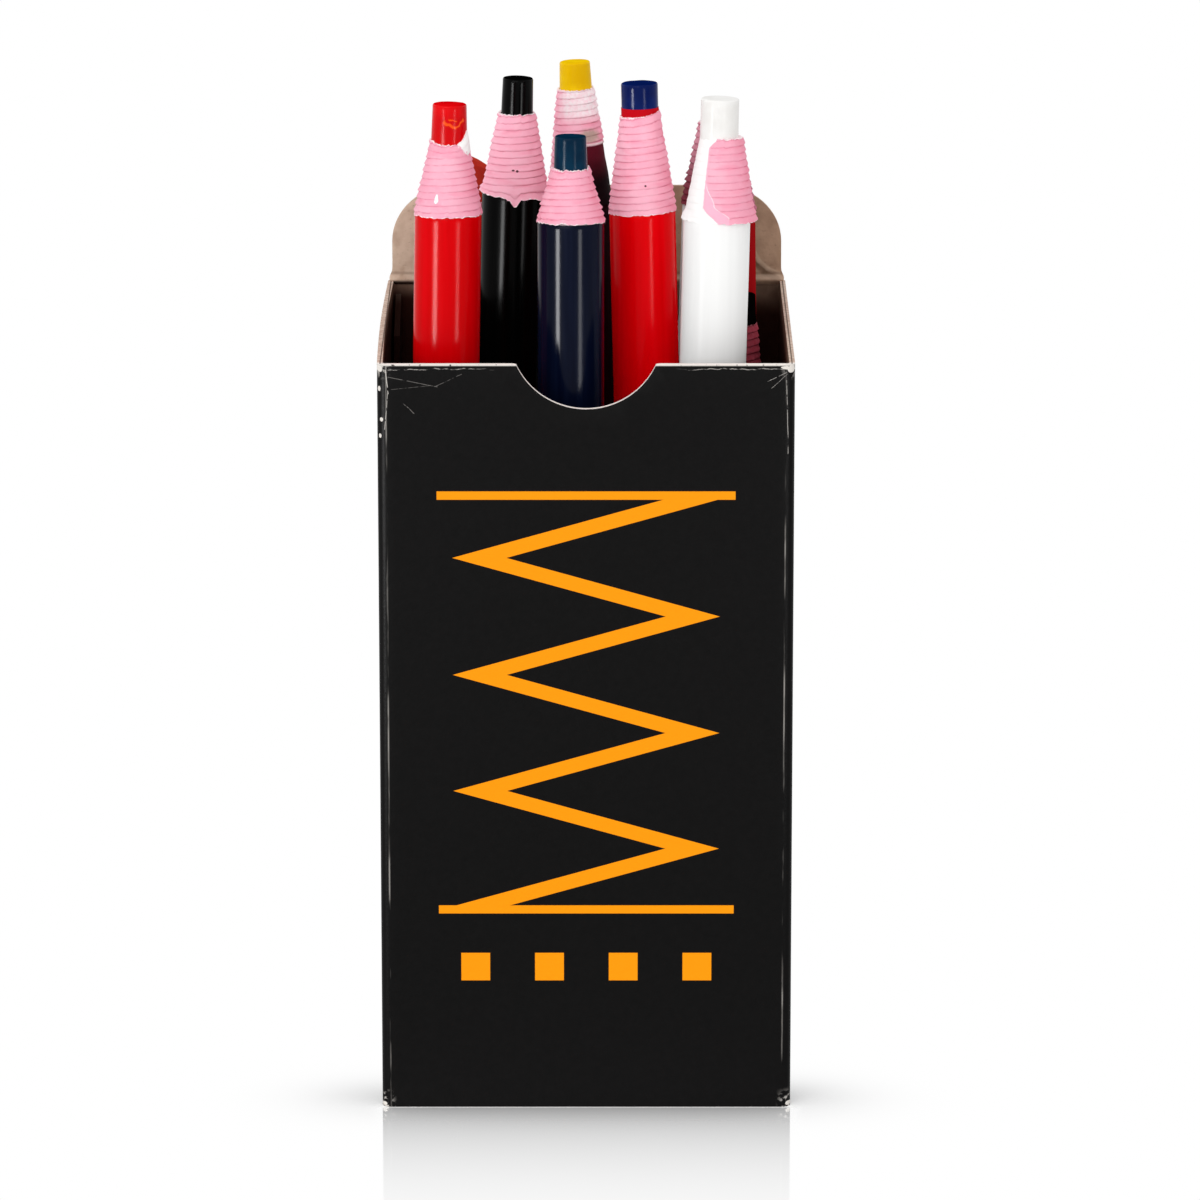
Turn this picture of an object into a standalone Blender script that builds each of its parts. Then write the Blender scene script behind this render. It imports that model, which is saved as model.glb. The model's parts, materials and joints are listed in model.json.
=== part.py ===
"""Open paperboard carton with ten peel-off marking pencils, in metres, +Z up, front towards -Y."""
import math
from collections import namedtuple

import bmesh
import bpy

# Pencil, built up in layers from the core outwards
PENCIL_LENGTH = 0.1422
CORE_DIAMETER = 0.0047
WRAP_WALL = 0.0016
SHEATH_WALL = 0.00035
LAYER_GAP = 0.0002
COLLAR_WALL = 0.00035
LIP = 0.00015
RIB_PITCH = 0.00098
RIB_RISE = 0.00016
TIP_RIM = 0.0002
STRING_DIAMETER = 0.0004
STRING_IN_CONE = 0.35
GROOVE_ROOM = 1.5
PLAIN_TURN = 0.25

# Carton, six pencils wide and six deep
PENCILS_PER_SIDE = 6
PACKING_PLAY = 0.0004
CARTON_HEIGHT = 0.1088
BOARD = 0.0008
FOLD_RADIUS = 0.0013
NOTCH_WIDTH = 0.0196
NOTCH_DEPTH = 0.0064
NOTCH_SHOULDER = 0.0008
FLAP_HEIGHT = 0.0136
FLAP_CORNER_WIDTH = 0.0094
FLAP_CORNER_HEIGHT = 0.0082
FLAP_INSET = 0.0006
FLAP_LEAN = 4.0
TONGUE_HEIGHT = 0.011
DUST_TAPER = 0.0022
DUST_MEETING = 0.0015
LAP_WIDTH = 0.011
LAP_TAPER = 0.004
SEAT_GAP = 0.0003
HINGE_GAP = 0.00015

# Facets and finishes
SIDES = 18
STRING_SIDES = 8
FOLD_STEPS = 4
NOTCH_STEPS = 14
SMOOTH_BELOW = 30.0
WAX_ROUGHNESS = 0.4
PAPER_ROUGHNESS = 0.6
LACQUER_ROUGHNESS = 0.15
PRINT_ROUGHNESS = 0.45
RAW_ROUGHNESS = 0.8

CORE_RADIUS = CORE_DIAMETER / 2
STRING_RADIUS = STRING_DIAMETER / 2
BORE_RADIUS = CORE_RADIUS + LAYER_GAP
WRAP_RADIUS = BORE_RADIUS + WRAP_WALL
SHEATH_BORE = WRAP_RADIUS + LAYER_GAP
BODY_RADIUS = SHEATH_BORE + SHEATH_WALL
LIP_RADIUS = BODY_RADIUS + LIP
COLLAR_RADIUS = BORE_RADIUS + COLLAR_WALL
STRING_PLACE = BORE_RADIUS + STRING_RADIUS
GROOVE_RADIUS = STRING_PLACE + GROOVE_ROOM * (STRING_RADIUS + LAYER_GAP)

INNER_WIDTH = PENCILS_PER_SIDE * 2 * BODY_RADIUS + PACKING_PLAY
CELL = INNER_WIDTH / PENCILS_PER_SIDE
INNER = INNER_WIDTH / 2
OUTER = INNER + BOARD
DUST_BOTTOM = BOARD + SEAT_GAP
FLOOR = DUST_BOTTOM + BOARD + SEAT_GAP

RED = (0.68, 0.003, 0.008)
NAVY = (0.006, 0.009, 0.032)
BLACK = (0.004, 0.004, 0.005)
WHITE = (0.88, 0.86, 0.85)
WINE = (0.045, 0.006, 0.013)
BROWN = (0.12, 0.03, 0.02)
BLUE = (0.004, 0.012, 0.11)
TEAL = (0.004, 0.035, 0.075)
YELLOW = (0.85, 0.55, 0.004)
TERRACOTTA = (0.36, 0.03, 0.014)
PINK = (1.0, 0.36, 0.47)
THREAD = (0.8, 0.78, 0.72)
PRINTED_BOARD = (0.008, 0.008, 0.008)
RAW_BOARD = (0.3, 0.22, 0.17)

# A pencil's foot stands at a column and row of the carton's cells, counted from the front left one. It
# leans to the right and to the back by some degrees. A used one has a share of the whole length, turns of
# ribs left on its cone and a bare tip in core diameters; a broken tip slopes down to the right by its slant.
Pencil = namedtuple("Pencil", "name core sheath column row right back share turns bare slant",
                    defaults=(0.0,))
PENCILS = (
    Pencil("red_pencil", RED, RED, 0.22, 0.35, 1.0, 2.0, share=0.991, turns=10.57, bare=1.12),
    Pencil("navy_pencil", TEAL, NAVY, 2.27, 0.20, 0.0, 2.0, share=0.961, turns=7.57, bare=1.01),
    Pencil("blue_pencil", BLUE, RED, 3.66, 1.35, -1.4, 2.0, share=1.0, turns=13.93, bare=1.0),
    Pencil("white_pencil", WHITE, WHITE, 4.12, 0.30, 1.4, 2.0, share=0.997, turns=11.93, bare=1.15),
    Pencil("black_pencil", BLACK, BLACK, 1.00, 3.00, 1.8, 1.5, share=0.987, turns=11.9, bare=1.08),
    Pencil("yellow_pencil", YELLOW, WINE, 2.94, 4.25, -2.4, 1.5, share=0.989, turns=17.2, bare=0.84),
    Pencil("brown_pencil", TERRACOTTA, BROWN, 0.77, 4.55, 0.0, 0.5, share=0.887, turns=12.2, bare=1.25,
           slant=25.0),
    Pencil("rear_white_pencil", WHITE, WHITE, 4.07, 4.30, 1.8, 1.0, share=0.952, turns=12.3, bare=0.75),
    Pencil("rear_red_pencil", RED, RED, 4.75, 3.20, -0.8, 1.0, share=0.932, turns=9.7, bare=0.43),
    Pencil("short_black_pencil", BLACK, BLACK, 4.82, 2.08, 0.0, 1.0, share=0.78, turns=12.2, bare=0.9),
)


def clear_scene():
    for old in list(bpy.data.objects):
        bpy.data.objects.remove(old, do_unlink=True)


def finish(name, shape, colour, roughness, parent=None, smooth=False):
    """Close a bmesh into a named object with its own material."""
    bmesh.ops.recalc_face_normals(shape, faces=shape.faces[:])
    mesh = bpy.data.meshes.new(name)
    shape.to_mesh(mesh)
    shape.free()
    if smooth:
        mesh.shade_smooth()
        mesh.set_sharp_from_angle(angle=math.radians(SMOOTH_BELOW))
    material = bpy.data.materials.new(name + "_finish")
    material.use_nodes = True
    material.diffuse_color = (*colour, 1.0)
    shader = material.node_tree.nodes["Principled BSDF"]
    shader.inputs["Base Color"].default_value = (*colour, 1.0)
    shader.inputs["Roughness"].default_value = roughness
    mesh.materials.append(material)
    node = bpy.data.objects.new(name, mesh)
    bpy.context.collection.objects.link(node)
    node.parent = parent
    return node


def revolve(profile, sides=SIDES, closed=False):
    """Turn a profile of (radius, height) points once round +Z."""
    shape = bmesh.new()
    points = [shape.verts.new((0.0, radius, height)) for radius, height in profile]
    ends = points[1:] + points[:1] if closed else points[1:]
    edges = [shape.edges.new(pair) for pair in zip(points, ends)]
    bmesh.ops.spin(shape, geom=points + edges, cent=(0, 0, 0), axis=(0, 0, 1), angle=math.tau, steps=sides,
                   use_merge=True)
    bmesh.ops.remove_doubles(shape, verts=shape.verts[:], dist=LAYER_GAP / 100)
    return shape


def leaf(outline, along):
    """Extrude a flat outline of board by a vector."""
    shape = bmesh.new()
    face = shape.faces.new([shape.verts.new(point) for point in outline])
    grown = bmesh.ops.extrude_face_region(shape, geom=[face], use_keep_orig=True)["geom"]
    moved = [item for item in grown if isinstance(item, bmesh.types.BMVert)]
    bmesh.ops.translate(shape, verts=moved, vec=along)
    return shape


def arc(centre, radius, start, end, steps, rise=None):
    """Points of an arc in degrees; a rise other than the radius makes it part of an ellipse."""
    turns = [math.radians(start + (end - start) * step / steps) for step in range(steps + 1)]
    rise = radius if rise is None else rise
    return [(centre[0] + radius * math.cos(turn), centre[1] + rise * math.sin(turn)) for turn in turns]


def notch_edge():
    """Points (x, z) of the front wall's top edge across the thumb notch, from left to right."""
    radius = (NOTCH_WIDTH ** 2 / 4 + NOTCH_DEPTH ** 2) / (2 * NOTCH_DEPTH)
    drop = radius - NOTCH_DEPTH + NOTCH_SHOULDER
    reach = math.sqrt((radius + NOTCH_SHOULDER) ** 2 - drop ** 2)
    slope = math.degrees(math.atan2(drop, reach))
    left = arc((-reach, CARTON_HEIGHT - NOTCH_SHOULDER), NOTCH_SHOULDER, 90.0, slope, FOLD_STEPS)
    bowl = arc((0.0, CARTON_HEIGHT - NOTCH_DEPTH + radius), radius, 180.0 + slope, 360.0 - slope, NOTCH_STEPS)
    right = [(-x, z) for x, z in reversed(left)]
    return left + bowl[1:-1] + right


def build_sleeve():
    """Four walls as one band of board, bent round the vertical folds and cut down at the notch."""
    band = [((x, -OUTER), (x, -INNER), z) for x, z in notch_edge()]
    bend = OUTER - FOLD_RADIUS
    for x, y, start in ((bend, -bend, 270.0), (bend, bend, 0.0), (-bend, bend, 90.0), (-bend, -bend, 180.0)):
        outside = arc((x, y), FOLD_RADIUS, start, start + 90.0, FOLD_STEPS)
        inside = arc((x, y), FOLD_RADIUS - BOARD, start, start + 90.0, FOLD_STEPS)
        band += [(out, into, CARTON_HEIGHT) for out, into in zip(outside, inside)]
    shape = bmesh.new()
    sections = []
    for out, into, top in band:
        corners = ((*out, 0.0), (*out, top), (*into, top), (*into, 0.0))
        sections.append([shape.verts.new(corner) for corner in corners])
    for here, after in zip(sections, sections[1:] + sections[:1]):
        for side in range(4):
            other = (side + 1) % 4
            shape.faces.new((here[side], after[side], after[other], here[other]))
    finish("carton_sleeve", shape, PRINTED_BOARD, PRINT_ROUGHNESS, smooth=True)


def build_lid_flap():
    """Rear flap: its object stands on the fold line, at the outer face of the back wall."""
    half = OUTER - FLAP_INSET
    top = SEAT_GAP + FLAP_HEIGHT
    corner = (half - FLAP_CORNER_WIDTH, top - FLAP_CORNER_HEIGHT)
    right = arc(corner, FLAP_CORNER_WIDTH, 0.0, 90.0, 3 * FOLD_STEPS, rise=FLAP_CORNER_HEIGHT)
    edge = [(half, SEAT_GAP)] + right + [(-x, z) for x, z in reversed(right)] + [(-half, SEAT_GAP)]
    shape = leaf([(x, -HINGE_GAP, z) for x, z in edge], (0.0, -BOARD, 0.0))
    flap = finish("carton_lid_flap", shape, RAW_BOARD, RAW_ROUGHNESS)
    flap.location = (0.0, OUTER + HINGE_GAP, CARTON_HEIGHT)
    flap.rotation_euler = (-math.radians(FLAP_LEAN), 0.0, 0.0)


def build_bottom_panel():
    """Floor leaf, folded up at the front into the tongue that tucks inside the front wall."""
    half = INNER - SEAT_GAP
    fold = (FOLD_RADIUS - half, FOLD_RADIUS)
    outside = arc(fold, FOLD_RADIUS, 270.0, 180.0, FOLD_STEPS)
    inside = arc(fold, FOLD_RADIUS - BOARD, 180.0, 270.0, FOLD_STEPS)
    edge = [(half, 0.0)] + outside + [(-half, TONGUE_HEIGHT), (BOARD - half, TONGUE_HEIGHT)]
    edge += inside + [(half, BOARD)]
    shape = leaf([(-half, y, z) for y, z in edge], (2 * half, 0.0, 0.0))
    finish("carton_bottom_panel", shape, RAW_BOARD, RAW_ROUGHNESS)


def build_dust_flap(name, side):
    """Side leaf on the bottom panel; its free edge meets the other leaf's in the middle."""
    wall = INNER - SEAT_GAP
    front = wall - BOARD - SEAT_GAP
    free = DUST_MEETING / 2
    edge = [(wall, -front), (wall, wall), (free, wall - DUST_TAPER), (free, DUST_TAPER - front)]
    shape = leaf([(side * x, y, DUST_BOTTOM) for x, y in edge], (0.0, 0.0, BOARD))
    finish(name, shape, RAW_BOARD, RAW_ROUGHNESS)


def build_glue_lap():
    """Joining strip against the inside of the left wall, at the back corner."""
    wall = INNER - SEAT_GAP
    low = FLOOR + SEAT_GAP
    high = CARTON_HEIGHT - LAP_TAPER / 2
    free = wall - LAP_WIDTH
    edge = [(wall, low), (wall, high), (free, high - LAP_TAPER), (free, low + LAP_TAPER)]
    shape = leaf([(-wall, y, z) for y, z in edge], (BOARD, 0.0, 0.0))
    finish("carton_glue_lap", shape, RAW_BOARD, RAW_ROUGHNESS)


def build_core(pencil, length, axis):
    """Wax rod with a worn rim; a broken tip slopes by the slant."""
    shoulder = length - TIP_RIM
    profile = ((0.0, 0.0), (CORE_RADIUS, 0.0), (CORE_RADIUS, shoulder), (CORE_RADIUS - TIP_RIM, length),
               (0.0, length))
    shape = revolve(profile)
    slope = math.tan(math.radians(pencil.slant))
    for point in shape.verts:
        if point.co.z > 0.0:
            point.co.z -= slope * point.co.x
    finish(pencil.name + "_core", shape, pencil.core, WAX_ROUGHNESS, axis, smooth=True)


def build_sheath(pencil, top, axis):
    profile = ((BODY_RADIUS, 0.0), (BODY_RADIUS, top), (SHEATH_BORE, top), (SHEATH_BORE, 0.0))
    shape = revolve(profile, closed=True)
    finish(pencil.name + "_sheath", shape, pencil.sheath, LACQUER_ROUGHNESS, axis, smooth=True)


def build_string(pencil, top, axis):
    shape = revolve(((0.0, 0.0), (STRING_RADIUS, 0.0), (STRING_RADIUS, top), (0.0, top)), STRING_SIDES)
    bmesh.ops.translate(shape, verts=shape.verts[:], vec=(0.0, STRING_PLACE, 0.0))
    finish(pencil.name + "_pull_string", shape, THREAD, RAW_ROUGHNESS, axis, smooth=True)


def build_wrap(pencil, lip, top, groove_end, axis):
    """Wound paper: a layered tube inside the sheath, then a cone whose outer turns climb as one helix.

    A turn of the helix is a row of groove points and a row of crest points. A row's end is the start of
    the row one turn higher, and the strip is cut off square where the helix starts and stops.
    """
    shape = bmesh.new()
    height = top - lip
    turns = round(height / RIB_PITCH) - 1
    pitch = height / (turns + 1 + 2 * PLAIN_TURN)
    last = 2 * turns

    def point(radius, step, z):
        turn = math.tau * step / SIDES
        return shape.verts.new((radius * math.sin(turn), radius * math.cos(turn), z))

    def ring(radius, z):
        return [point(radius, step, z) for step in range(SIDES)]

    def bridge(low, high):
        for step in range(SIDES):
            after = (step + 1) % SIDES
            shape.faces.new((low[step], low[after], high[after], high[step]))

    def helix_point(level, step):
        climb = pitch * (PLAIN_TURN + level / 2 + step / SIDES)
        taper = LIP_RADIUS + (COLLAR_RADIUS - LIP_RADIUS) * climb / height
        return point(taper + level % 2 * RIB_RISE, step, lip + climb)

    rows = [[helix_point(level, step) for step in range(SIDES)] for level in range(last + 1)]
    for level in range(last - 1):
        rows[level].append(rows[level + 2][0])
    for level in (last - 1, last):
        rows[level].append(helix_point(level, SIDES))

    foot = ring(WRAP_RADIUS, 0.0)
    neck = ring(WRAP_RADIUS, lip)
    lip_edge = ring(LIP_RADIUS, lip)
    collar = ring(COLLAR_RADIUS, top)
    bridge(foot, neck)
    bridge(neck, lip_edge)
    for low, high in zip([lip_edge + lip_edge[:1]] + rows, rows + [collar + collar[:1]]):
        for step in range(SIDES):
            shape.faces.new((low[step], low[step + 1], high[step + 1], high[step]))
    shape.faces.new((lip_edge[0], rows[0][0], rows[1][0], rows[2][0]))
    shape.faces.new((collar[0], rows[last][SIDES], rows[last - 1][SIDES], rows[last][0]))

    mouth = ring(BORE_RADIUS, top)
    groove_stop = ring(BORE_RADIUS, groove_end + LAYER_GAP)
    groove_top = ring(BORE_RADIUS, groove_end)
    bore_foot = ring(BORE_RADIUS, 0.0)
    for loop in (groove_top, bore_foot):
        loop[0].co.y = GROOVE_RADIUS
    inside = (collar, mouth, groove_stop, groove_top, bore_foot, foot)
    for low, high in zip(inside, inside[1:]):
        bridge(low, high)
    finish(pencil.name + "_paper_wrap", shape, PINK, PAPER_ROUGHNESS, axis, smooth=True)


def build_pencil(pencil):
    """One pencil under an empty at its foot, whose own +Z is the way the pencil pulls out."""
    axis = bpy.data.objects.new(pencil.name + "_axis", None)
    bpy.context.collection.objects.link(axis)
    right = math.radians(pencil.right)
    back = math.radians(pencil.back)
    tilt = math.acos(math.cos(right) * math.cos(back))
    axis.location = ((pencil.column + 0.5) * CELL - INNER, (pencil.row + 0.5) * CELL - INNER,
                     FLOOR + BODY_RADIUS * math.sin(tilt))
    axis.rotation_euler = (-back, right, 0.0)
    length = pencil.share * PENCIL_LENGTH
    cone = pencil.turns * RIB_PITCH
    cone_top = length - pencil.bare * CORE_DIAMETER
    cone_foot = cone_top - cone
    groove_end = cone_foot + STRING_IN_CONE * cone
    build_core(pencil, length, axis)
    build_wrap(pencil, cone_foot, cone_top, groove_end, axis)
    build_sheath(pencil, cone_foot - LAYER_GAP, axis)
    build_string(pencil, groove_end - LAYER_GAP, axis)


clear_scene()
build_sleeve()
build_lid_flap()
build_bottom_panel()
build_dust_flap("carton_dust_flap_left", -1)
build_dust_flap("carton_dust_flap_right", 1)
build_glue_lap()
for each in PENCILS:
    build_pencil(each)
bpy.context.view_layer.update()
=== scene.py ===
import json
import math
from collections import namedtuple

import bpy
import numpy as np
from mathutils import Matrix, Vector, noise

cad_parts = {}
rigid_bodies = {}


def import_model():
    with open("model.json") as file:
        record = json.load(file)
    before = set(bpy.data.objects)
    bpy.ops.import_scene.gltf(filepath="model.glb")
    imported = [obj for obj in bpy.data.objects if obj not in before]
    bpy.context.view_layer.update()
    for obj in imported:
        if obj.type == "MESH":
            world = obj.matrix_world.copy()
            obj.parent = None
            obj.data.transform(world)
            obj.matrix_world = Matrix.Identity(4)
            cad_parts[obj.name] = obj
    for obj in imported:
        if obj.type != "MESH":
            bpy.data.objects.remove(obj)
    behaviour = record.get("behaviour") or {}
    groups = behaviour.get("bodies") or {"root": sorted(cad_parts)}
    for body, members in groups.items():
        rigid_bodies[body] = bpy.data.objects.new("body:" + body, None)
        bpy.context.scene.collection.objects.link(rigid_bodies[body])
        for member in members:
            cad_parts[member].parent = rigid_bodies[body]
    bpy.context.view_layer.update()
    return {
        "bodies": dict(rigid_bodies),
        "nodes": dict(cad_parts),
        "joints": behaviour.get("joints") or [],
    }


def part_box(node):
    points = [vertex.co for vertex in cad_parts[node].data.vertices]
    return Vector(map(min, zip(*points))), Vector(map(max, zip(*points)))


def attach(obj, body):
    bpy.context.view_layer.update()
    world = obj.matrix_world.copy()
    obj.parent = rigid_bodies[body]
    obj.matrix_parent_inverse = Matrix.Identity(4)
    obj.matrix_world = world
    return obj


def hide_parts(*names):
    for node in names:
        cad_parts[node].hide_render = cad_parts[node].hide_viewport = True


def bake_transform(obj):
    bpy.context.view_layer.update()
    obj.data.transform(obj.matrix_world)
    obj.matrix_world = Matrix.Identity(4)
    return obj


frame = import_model()


# Carton sleeve: four walls of one sheet of solid paperboard, printed black outside and left raw inside.
# It is die-cut with a thumb notch in the front wall, creased and folded round the four upright corners.
sleeve_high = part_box("carton_sleeve")[1]
carton_half = sleeve_high.x
carton_height = sleeve_high.z
board = 0.0008
fold_radius = 0.0013
notch_width = 0.0196
notch_depth = 0.0064
notch_shoulder = 0.0008
cut_rounding = 0.00009
wall_bow = 0.0003
printed_face, raw_face, cut_face = range(3)


def tint(red, green, blue):
    """A linear colour from the 0 to 255 values seen on a screen."""
    shares = [value / 255 for value in (red, green, blue)]
    return (*[v / 12.92 if v <= 0.04045 else ((v + 0.055) / 1.055) ** 2.4 for v in shares], 1.0)


class Signal:
    """A value in one node tree; its operators add Math nodes there, and | takes the larger of two."""

    def __init__(self, finish, socket):
        self.finish = finish
        self.socket = socket

    def math(self, operation, *others):
        sockets = dict(enumerate((self, *others)))
        return self.finish.add("ShaderNodeMath", {"operation": operation}, sockets)

    def reflected(self, operation, other):
        return self.finish.add("ShaderNodeMath", {"operation": operation}, {0: other, 1: self})

    def output(self, name):
        return Signal(self.finish, self.socket.node.outputs[name])

    def __add__(self, other):
        return self.math("ADD", other)

    def __radd__(self, other):
        return self.reflected("ADD", other)

    def __sub__(self, other):
        return self.math("SUBTRACT", other)

    def __rsub__(self, other):
        return self.reflected("SUBTRACT", other)

    def __mul__(self, other):
        return self.math("MULTIPLY", other)

    def __rmul__(self, other):
        return self.reflected("MULTIPLY", other)

    def __truediv__(self, other):
        return self.math("DIVIDE", other)

    def __or__(self, other):
        return self.math("MAXIMUM", other)

    def __abs__(self):
        return self.math("ABSOLUTE")

    def ramp(self, low, high):
        """0 at low and 1 at high, with a soft step between them."""
        sockets = {"Value": self, "From Min": low, "From Max": high}
        return self.finish.add("ShaderNodeMapRange", {"interpolation_type": "SMOOTHSTEP"}, sockets)


class Wiring:
    """The node tree of a material or of the world, with one method that adds any node to it."""

    def __init__(self, tree):
        self.tree = tree

    def add(self, kind, settings, sockets, output=0):
        node = self.tree.nodes.new(kind)
        for key, value in settings.items():
            setattr(node, key, value)
        for key, value in sockets.items():
            if isinstance(value, Signal):
                self.tree.links.new(value.socket, node.inputs[key])
            else:
                node.inputs[key].default_value = value
        return Signal(self, node.outputs[output])


class Finish(Wiring):
    """A material under construction."""

    def __init__(self, name, **constants):
        self.material = bpy.data.materials.new(name)
        self.material.use_nodes = True
        super().__init__(self.material.node_tree)
        self.shader = self.tree.nodes["Principled BSDF"]
        self.object_place = self.add("ShaderNodeTexCoord", {}, {}, "Object")
        for socket, value in constants.items():
            self.shader.inputs[socket.replace("_", " ")].default_value = value

    def millimetres(self):
        """The object's own x, y and z in millimetres."""
        axes = self.add("ShaderNodeSeparateXYZ", {}, {0: self.object_place})
        return [axes.output(name) * 1000 for name in "XYZ"]

    def grain(self, scale, detail=2.0, place=None, stretch=None):
        """Noise around 0.5, with scale in features per metre along the object."""
        place = place or self.object_place
        if stretch:
            place = self.add("ShaderNodeVectorMath", {"operation": "MULTIPLY"}, {0: place, 1: stretch})
        return self.add("ShaderNodeTexNoise", {}, {"Vector": place, "Scale": scale, "Detail": detail})

    def mix(self, share, first, second):
        return self.add("ShaderNodeMix", {"data_type": "RGBA"}, {0: share, 6: first, 7: second}, 2)

    def relief(self, height, strength, distance):
        sockets = {"Height": height, "Strength": strength, "Distance": distance}
        self.feed("Normal", self.add("ShaderNodeBump", {}, sockets))

    def feed(self, socket, value):
        self.tree.links.new(value.socket, self.shader.inputs[socket])


def new_piece(name):
    """Take the primitive just added as a piece of that name, with its place put into its mesh."""
    piece = bpy.context.object
    piece.name = name
    piece.data.name = name
    bpy.ops.object.transform_apply(location=True, rotation=True, scale=True)
    return piece


def select_parts(piece, kind, test):
    """Select the vertices, edges or faces of a piece that pass a test, and end in edit mode."""
    bpy.ops.object.mode_set(mode="EDIT")
    bpy.ops.mesh.select_mode(type={"vertices": "VERT", "edges": "EDGE", "polygons": "FACE"}[kind])
    bpy.ops.mesh.select_all(action="DESELECT")
    bpy.ops.object.mode_set(mode="OBJECT")
    for part in getattr(piece.data, kind):
        part.select = test(part)
    bpy.ops.object.mode_set(mode="EDIT")


def ends_of(piece, edge):
    return [piece.data.vertices[index].co for index in edge.vertices]


def face_outwards():
    """Recalculate the normals of the piece in edit mode, and leave edit mode."""
    bpy.ops.mesh.select_all(action="SELECT")
    bpy.ops.mesh.normals_make_consistent(inside=False)
    bpy.ops.object.mode_set(mode="OBJECT")


def apply_modifier(piece, kind, **settings):
    modifier = piece.modifiers.new(kind.lower(), kind)
    for key, value in settings.items():
        setattr(modifier, key, value)
    bpy.context.view_layer.objects.active = piece
    bpy.ops.object.modifier_apply(modifier=modifier.name)


def board_depth(point):
    """How far a point of the sleeve lies inside its outer face."""
    bend = carton_half - fold_radius
    across = abs(point.x) - bend
    along = abs(point.y) - bend
    if across > 0 and along > 0:
        return fold_radius - math.hypot(across, along)
    return fold_radius - max(across, along)


bpy.ops.mesh.primitive_cube_add(
    size=1.0, location=(0.0, 0.0, carton_height / 2),
    scale=(2 * carton_half, 2 * carton_half, carton_height))
sleeve = new_piece("carton_walls")
select_parts(sleeve, "polygons", lambda face: abs(face.normal.z) > 0.5)
bpy.ops.mesh.delete(type="ONLY_FACE")
bpy.ops.mesh.select_all(action="SELECT")
bpy.ops.mesh.subdivide(number_cuts=23)
bpy.ops.object.mode_set(mode="OBJECT")


def on_upright_corner(edge):
    ends = ends_of(sleeve, edge)
    return all(max(abs(abs(end.x) - carton_half), abs(abs(end.y) - carton_half)) < 1e-6 for end in ends)


select_parts(sleeve, "edges", on_upright_corner)
bpy.ops.mesh.bevel(offset=fold_radius, offset_type="OFFSET", segments=6, affect="EDGES")
face_outwards()
apply_modifier(sleeve, "SOLIDIFY", thickness=board, offset=-1.0, use_even_offset=True)

# The notch is cut by a round tool across the front wall, and its two shoulders are then rounded.
notch_radius = (notch_width ** 2 / 4 + notch_depth ** 2) / (2 * notch_depth)
notch_middle = carton_height - notch_depth + notch_radius
bpy.ops.mesh.primitive_cylinder_add(
    vertices=192, radius=notch_radius, depth=0.008,
    location=(0.0, -carton_half, notch_middle), rotation=(math.pi / 2, 0.0, 0.0))
notch_tool = new_piece("notch_tool")
bpy.ops.object.select_all(action="DESELECT")
sleeve.select_set(True)
apply_modifier(sleeve, "BOOLEAN", operation="DIFFERENCE", object=notch_tool, solver="EXACT")
bpy.data.objects.remove(notch_tool)


def on_notch_shoulder(edge):
    ends = ends_of(sleeve, edge)
    level = all(abs(end.z - carton_height) < 1e-6 for end in ends)
    beside = all(abs(abs(end.x) - notch_width / 2) < 2e-5 for end in ends)
    return level and beside and all(end.y < 0 for end in ends)


select_parts(sleeve, "edges", on_notch_shoulder)
bpy.ops.mesh.bevel(offset=notch_shoulder, offset_type="OFFSET", segments=5, affect="EDGES")
bpy.ops.object.mode_set(mode="OBJECT")
cut_edges = {"segments": 2, "limit_method": "ANGLE", "angle_limit": math.radians(60)}
apply_modifier(sleeve, "BEVEL", width=cut_rounding, **cut_edges)
bpy.ops.object.shade_smooth_by_angle(angle=math.radians(35))


def hypotenuse(aside, above):
    return (aside * aside + above * above).math("SQRT")


def worn_line(x, z, start, end, width):
    """A stroke between two (x, z) points in millimetres."""
    run = (end[0] - start[0], end[1] - start[1])
    length = math.hypot(*run)
    along = ((x - start[0]) * run[0] + (z - start[1]) * run[1]) / length ** 2
    along = (along | 0.0).math("MINIMUM", 1.0)
    away = hypotenuse(x - start[0] - along * run[0], z - start[1] - along * run[1])
    return 1 - away.ramp(width * 0.3, width)


def blot(across, height, mark, wobble):
    """A ragged patch; its mark is its place across, its height, its half width and its half height."""
    away = hypotenuse((across - mark[0]) / mark[2], (height - mark[1]) / mark[3])
    return 1 - (away + (wobble - 0.5) * 1.1).ramp(0.82, 1.0)


def print_mask(x, z):
    """An orange print: a zigzag between two rules, like a truss, with a row of squares below it."""
    turn = (z - 30.0).math("PINGPONG", 8.5) / 8.5 * 2 - 1
    zigzag = 1 - abs(x - turn * 15.0).ramp(3.7, 3.9)
    zigzag = zigzag * z.ramp(29.6, 29.7) * (1 - z.ramp(89.8, 89.9))
    upper = 1 - abs(z - 90.0).ramp(0.55, 0.65)
    lower = 1 - abs(z - 29.5).ramp(0.55, 0.65)
    rules = (upper | lower) * (1 - abs(x).ramp(20.9, 21.0))
    cell = x.math("PINGPONG", 5.25)
    squares = (1 - abs(cell - 5.25).ramp(2.0, 2.1)) * (1 - abs(z - 21.0).ramp(2.0, 2.1))
    squares = squares * (1 - abs(x).ramp(21.0, 21.1))
    return zigzag | rules | squares


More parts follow.
